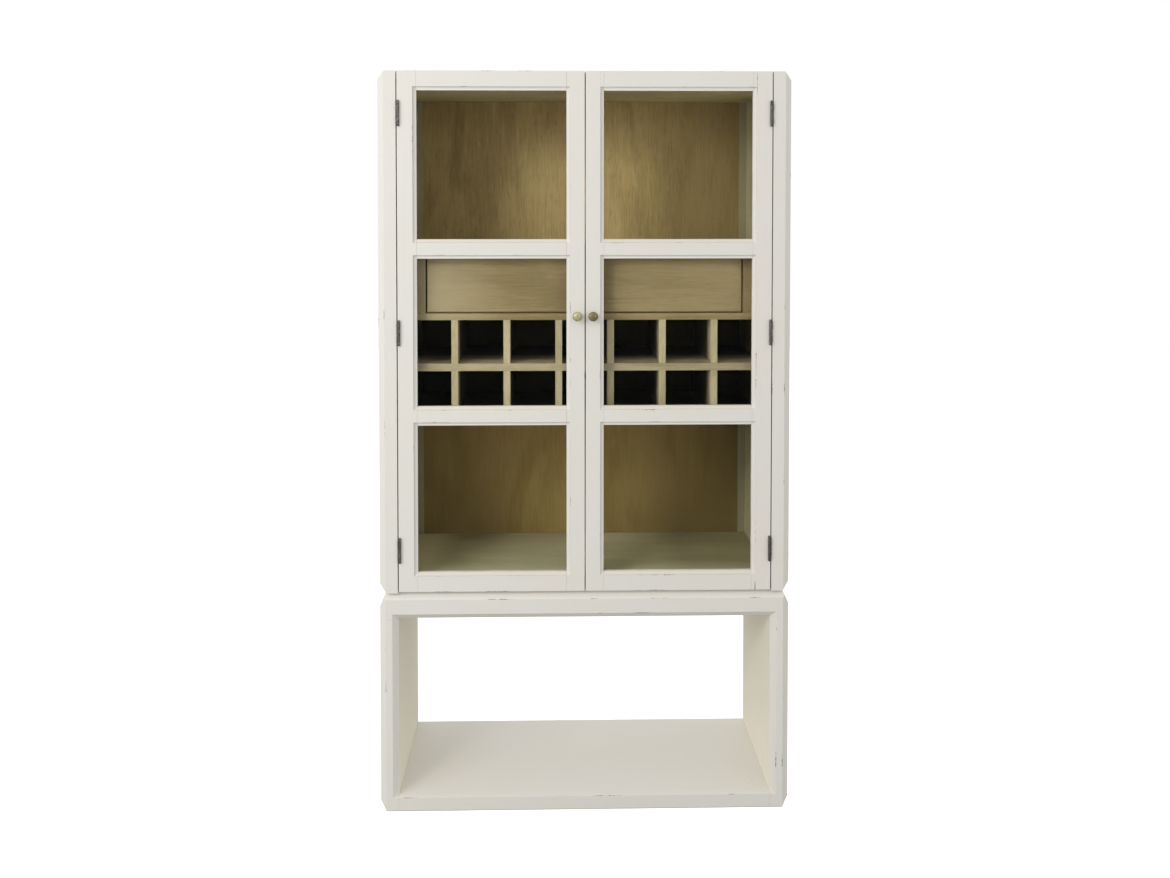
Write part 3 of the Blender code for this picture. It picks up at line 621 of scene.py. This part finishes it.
knob = {
    "x": 0.0207, "z": 1.3315, "steps": 40, "finish": {"left": "brass", "right": "shadedBrass"},
    "profile": [
        (0.0, 0.0003), (0.0078, 0.0003), (0.0080, 0.0006), (0.0080, 0.0016), (0.0077, 0.0020),
        (0.0064, 0.0029), (0.0053, 0.0043), (0.0047, 0.0060), (0.0046, 0.0080), (0.0052, 0.0092),
        (0.0066, 0.0103), (0.0086, 0.0116), (0.0106, 0.0131), (0.0120, 0.0147), (0.0127, 0.0164),
        (0.01275, 0.0180), (0.0122, 0.0198), (0.0110, 0.0214), (0.0092, 0.0227), (0.0066, 0.0236),
        (0.0034, 0.0240), (0.0, 0.0240)],
}
for name, side in sides.items():
    bm = bmesh.new()
    addTurned(bm, knob["profile"], knob["steps"], (side * knob["x"], front, knob["z"]), (0, -1, 0))
    finish = finishes[knob["finish"][name]]
    piece = makePiece(name + "_knob_turned", bm, finish, name + "_door", True)
    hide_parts(name + "_door_knob")
print("knobs made")


# glazing beads behind the panes, and their pins

bead = {"front": -0.1865, "back": -0.1812, "outside": 0.0067, "inside": 0.0004, "round": 0.0022,
        "shrink": 0.9997, "touch": 1e-5, "margin": 0.001}
pin = {"radius": 0.0008, "depth": 0.0004, "shoulder": (0.6, 0.00012), "top": 0.00015, "steps": 10,
       "every": 0.13, "outwards": 0.0008}


def beadRing(bm, x, z):
    # the ring of an inset rectangle, parted at its mitres and drawn out to four strips
    part = bmesh.new()
    out = bead["outside"]
    middle = Vector(((x[0] + x[1]) / 2, bead["front"], (z[0] + z[1]) / 2))
    size = Matrix.Diagonal((x[1] - x[0] + 2 * out, z[1] - z[0] + 2 * out, 1.0, 1.0))
    stand = Matrix.Rotation(math.radians(90), 4, "X")
    bmesh.ops.create_grid(part, x_segments=1, y_segments=1, size=0.5,
                          matrix=Matrix.Translation(middle) @ stand @ size)
    ring = bmesh.ops.inset_region(part, faces=part.faces[:], thickness=out - bead["inside"],
                                  use_boundary=True, use_even_offset=True)["faces"]
    bmesh.ops.delete(part, geom=[face for face in part.faces if face not in ring], context="FACES")
    bmesh.ops.split_edges(part, edges=[edge for edge in part.edges if len(edge.link_faces) == 2])
    for face in part.faces:
        bmesh.ops.scale(part, verts=face.verts[:], vec=(bead["shrink"], 1.0, bead["shrink"]),
                        space=Matrix.Translation(-face.calc_center_median()))
    drawn = bmesh.ops.extrude_face_region(part, geom=part.faces[:])["geom"]
    verts = [item for item in drawn if isinstance(item, bmesh.types.BMVert)]
    bmesh.ops.translate(part, verts=verts, vec=(0, bead["back"] - bead["front"], 0))
    # the inner edges on the side away from the glass are rounded
    behind = bead["back"] - bead["touch"]
    wide = (x[1] - x[0]) / 2 + bead["margin"]
    high = (z[1] - z[0]) / 2 + bead["margin"]
    sight = [edge for edge in part.edges
             if all(vert.co.y > behind and abs(vert.co.x - middle.x) < wide
                    and abs(vert.co.z - middle.z) < high for vert in edge.verts)]
    roundEdges(part, sight, bead["round"], 3)
    addCopy(bm, part)


def pinRow(bm, x, z):
    half = (bead["outside"] + bead["inside"]) / 2 + pin["outwards"]
    radius, depth = pin["radius"], pin["depth"]
    share, rise = pin["shoulder"]
    dome = [(0.0, -depth), (radius, -depth), (radius, 0.0), (radius * share, rise), (0.0, pin["top"])]
    for low, high, edges, level in ((*x, (z[0] - half, z[1] + half), True),
                                    (*z, (x[0] - half, x[1] + half), False)):
        count = max(2, round((high - low) / pin["every"]))
        for i in range(count):
            along = low + (high - low) * (i + 0.5) / count
            for edge in edges:
                spot = (along, bead["back"], edge) if level else (edge, bead["back"], along)
                addTurned(bm, dome, pin["steps"], spot, (0, 1, 0))


for name, side in sides.items():
    pins = bmesh.new()
    x = sorted((side * door["paneNear"], side * door["paneFar"]))
    for level, z in door["panes"].items():
        bm = bmesh.new()
        beadRing(bm, x, z)
        makePiece(name + "_door_bead_" + level, bm, finishes["bead"], name + "_door")
        pinRow(pins, x, z)
    makePiece(name + "_door_bead_pins", pins, finishes["iron"], name + "_door", True)
print("beads made")


# screws of the hinges and of the back panel

screw = {"segments": 20, "sunk": 0.0004, "slot": 0.16, "soft": 0.6, "disc": 0.97}


def addDisc(bm, radius, depth):
    return bmesh.ops.create_cone(bm, cap_ends=True, segments=screw["segments"], radius1=radius,
                                 radius2=radius, depth=depth)["verts"]


def addScrew(bm, centre, axis, radius, proud, turn):
    # a slotted head: two halves on a lower disc
    part = bmesh.new()
    for way in (-1, 1):
        verts = addDisc(part, radius, proud + screw["sunk"])
        sawOff(part, verts, (0, way * radius * screw["slot"], 0), (0, -way, 0))
        rim = [edge for edge in part.edges if all(v.co.z > 0 and v.co.y * way > 0 for v in edge.verts)]
        roundEdges(part, rim, proud * screw["soft"])
    verts = addDisc(part, radius * screw["disc"], screw["sunk"])
    bmesh.ops.translate(part, verts=verts, vec=(0, 0, -proud * 0.5))
    lift = Matrix.Translation((0, 0, (proud - screw["sunk"]) / 2))
    spin = Matrix.Rotation(turn, 4, "Z")
    face = Vector((0, 0, 1)).rotation_difference(Vector(axis)).to_matrix().to_4x4()
    bmesh.ops.transform(part, matrix=Matrix.Translation(centre) @ face @ spin @ lift, verts=part.verts)
    addCopy(bm, part)


hinge = {"x": 0.4985, "face": 0.0002, "y": (-0.1935, -0.1875, -0.1935), "step": 0.019,
         "z": {"top": 1.868, "middle": 1.287, "bottom": 0.706}, "head": 0.0026, "proud": 0.00012,
         "turn": 0.7, "turnStep": 1.9}
for name, side in sides.items():
    for level, z in hinge["z"].items():
        for leaf, outward, body in (("frame", 1, "cabinet"), ("door", -1, name + "_door")):
            bm = bmesh.new()
            for i, y in enumerate(hinge["y"]):
                x = side * (hinge["x"] + outward * hinge["face"])
                addScrew(bm, (x, y, z + (i - 1) * hinge["step"]), (-side * outward, 0, 0),
                         hinge["head"], hinge["proud"], hinge["turn"] + hinge["turnStep"] * i)
            makePiece("%s_hinge_%s_%s_screws" % (name, level, leaf), bm, finishes["iron"], body)

backScrew = {"x": 0.5045, "y": 0.2233, "head": 0.0036, "proud": 0.0014,
             "foot": 0.625, "step": 0.188, "count": 8, "turnStep": 1.1,
             "rows": (0.6077, 1.958), "spacing": 0.19, "rowCount": 5,
             "rowTurn": 0.5, "rowTurnStep": 0.8}
bm = bmesh.new()
for side in sides.values():
    for i in range(backScrew["count"]):
        addScrew(bm, (side * backScrew["x"], backScrew["y"], backScrew["foot"] + i * backScrew["step"]),
                 (0, 1, 0), backScrew["head"], backScrew["proud"], i * backScrew["turnStep"])
for z in backScrew["rows"]:
    for i in range(backScrew["rowCount"]):
        addScrew(bm, ((i - backScrew["rowCount"] // 2) * backScrew["spacing"], backScrew["y"], z),
                 (0, 1, 0), backScrew["head"], backScrew["proud"],
                 backScrew["rowTurn"] + i * backScrew["rowTurnStep"])
makePiece("back_panel_screws", bm, finishes["steel"], "cabinet")
print("screws made")


# magnetic catches under the top, their plates, and felt pads at the foot of the doors

catch = {"x": (0.006, 0.040), "y": (-0.1788, -0.1600), "z": (1.9220, 1.9353), "round": 0.0012}
magnet = {"proud": 0.0006, "in": 0.005, "deep": 0.009, "thick": 0.0014, "z": (1.9250, 1.9309),
          "round": 0.0002}
plate = {"x": (0.010, 0.036), "z": (1.9185, 1.9330), "gap": 0.0001, "thick": 0.0012, "round": 0.0004,
         "head": 0.0028, "headProud": 0.0003, "turn": 0.6}
pad = {"across": (0.026, 0.470), "z": 0.611, "steps": 24,
       "profile": [(0.0, 0.0), (0.0045, 0.0), (0.0046, 0.0004), (0.0045, 0.0012), (0.0040, 0.0015),
                   (0.0, 0.0015)]}
for name, side in sides.items():
    x = sorted(side * value for value in catch["x"])
    bm = bmesh.new()
    verts = addBlock(bm, (x[0], catch["y"][0] + magnet["proud"], catch["z"][0]),
                     (x[1], catch["y"][1], catch["z"][1]))
    roundEdges(bm, edgesOf(verts), catch["round"], 3)
    makePiece(name + "_catch", bm, finishes["catch"], "cabinet")
    bm = bmesh.new()
    for z in magnet["z"]:
        verts = addBlock(bm, (x[0] + magnet["in"], catch["y"][0], z),
                         (x[1] - magnet["in"], catch["y"][0] + magnet["deep"], z + magnet["thick"]))
        roundEdges(bm, edgesOf(verts), magnet["round"])
    makePiece(name + "_catch_magnet", bm, finishes["steel"], "cabinet")
    x = sorted(side * value for value in plate["x"])
    bm = bmesh.new()
    verts = addBlock(bm, (x[0], door["back"] + plate["gap"], plate["z"][0]),
                     (x[1], door["back"] + plate["thick"], plate["z"][1]))
    roundEdges(bm, edgesOf(verts), plate["round"])
    addScrew(bm, ((x[0] + x[1]) / 2, door["back"] + plate["thick"], sum(plate["z"]) / 2),
             (0, 1, 0), plate["head"], plate["headProud"], plate["turn"])
    makePiece(name + "_catch_plate", bm, finishes["steel"], name + "_door")
    bm = bmesh.new()
    for across in pad["across"]:
        addTurned(bm, pad["profile"], pad["steps"], (side * across, door["back"], pad["z"]), (0, 1, 0))
    makePiece(name + "_door_pads", bm, finishes["felt"], name + "_door", smooth=True)
print("catches made")


# studio: even white light, with softboxes high on the left, wide on the left and weak on the right

studio = {
    "camera": (-0.0857, -3.1159, 1.6362), "turn": (88.29, 0.0, -1.2158), "lens": 33.8464,
    "sensor": 36.0, "shift": (0.0075, -0.1752), "clip": (0.05, 60.0),
    "floor": (0.46, 0.46, 0.46), "floorRoughness": 0.9, "floorGlow": 0.92, "floorSize": 9.0,
    "worldSeen": 1.0, "worldLight": 0.844,
    "boxes": {
        "high": {"at": (-2.1, -2.9, 2.85), "aim": (0, 0, 1.1), "size": (0.9, 0.9), "watts": 28},
        "wide": {"at": (-3.2, -2.4, 1.90), "aim": (0, 0, 1.1), "size": (0.9, 0.9), "watts": 22},
        "right": {"at": (2.6, -2.9, 1.90), "aim": (0, 0, 1.1), "size": (0.9, 0.9), "watts": 3},
    },
}


def makeCamera():
    lens = bpy.data.cameras.new("camera")
    lens.sensor_fit, lens.sensor_width, lens.lens = "HORIZONTAL", studio["sensor"], studio["lens"]
    lens.shift_x, lens.shift_y = studio["shift"]
    lens.clip_start, lens.clip_end = studio["clip"]
    camera = bpy.data.objects.new("camera", lens)
    camera.location = studio["camera"]
    camera.rotation_euler = [math.radians(angle) for angle in studio["turn"]]
    bpy.context.scene.collection.objects.link(camera)
    bpy.context.scene.camera = camera


def makeLights():
    for name, box in studio["boxes"].items():
        light = bpy.data.lights.new("softbox_" + name, "AREA")
        light.shape, light.energy = "RECTANGLE", box["watts"]
        light.size, light.size_y = box["size"]
        item = bpy.data.objects.new(light.name, light)
        item.location = box["at"]
        aim = Vector(box["aim"]) - Vector(box["at"])
        item.rotation_euler = aim.to_track_quat("-Z", "Y").to_euler()
        bpy.context.scene.collection.objects.link(item)


def inSight(tree):
    # what is seen straight or through a pane, and not by way of a lit surface
    path = addNode(tree, "LightPath", {})
    straight = work(tree, "LESS_THAN", path.outputs["Diffuse Depth"], 0.5)
    through = work(tree, "MULTIPLY", path.outputs["Is Transmission Ray"], straight)
    return work(tree, "MAXIMUM", path.outputs["Is Camera Ray"], through)


def makeWorld():
    # white behind the cabinet, a softer white as light
    world = bpy.data.worlds.new("studio")
    world.use_nodes = True
    bpy.context.scene.world = world
    tree = world.node_tree
    background = tree.nodes["Background"]
    background.inputs["Color"].default_value = (1, 1, 1, 1)
    level = spread(tree, inSight(tree), 0.0, 1.0, studio["worldLight"], studio["worldSeen"])
    feed(tree, background.inputs["Strength"], level)


def makeFloor():
    # a pale floor that glows enough to be as white as the backdrop
    bm = bmesh.new()
    bmesh.ops.create_grid(bm, x_segments=2, y_segments=2, size=studio["floorSize"])
    mesh = bpy.data.meshes.new("studio_floor")
    bm.to_mesh(mesh)
    bm.free()
    finish, tree, shader = newFinish("studioFloor")
    shader.inputs["Base Color"].default_value = (*studio["floor"], 1.0)
    shader.inputs["Roughness"].default_value = studio["floorRoughness"]
    shader.inputs["Emission Color"].default_value = (1, 1, 1, 1)
    glow = work(tree, "MULTIPLY", inSight(tree), studio["floorGlow"])
    feed(tree, shader.inputs["Emission Strength"], glow)
    mesh.materials.append(finish)
    item = bpy.data.objects.new("studio_floor", mesh)
    bpy.context.scene.collection.objects.link(item)


makeCamera()
makeLights()
makeWorld()
makeFloor()
bpy.context.scene.view_settings.view_transform = "Standard"
print("studio made")
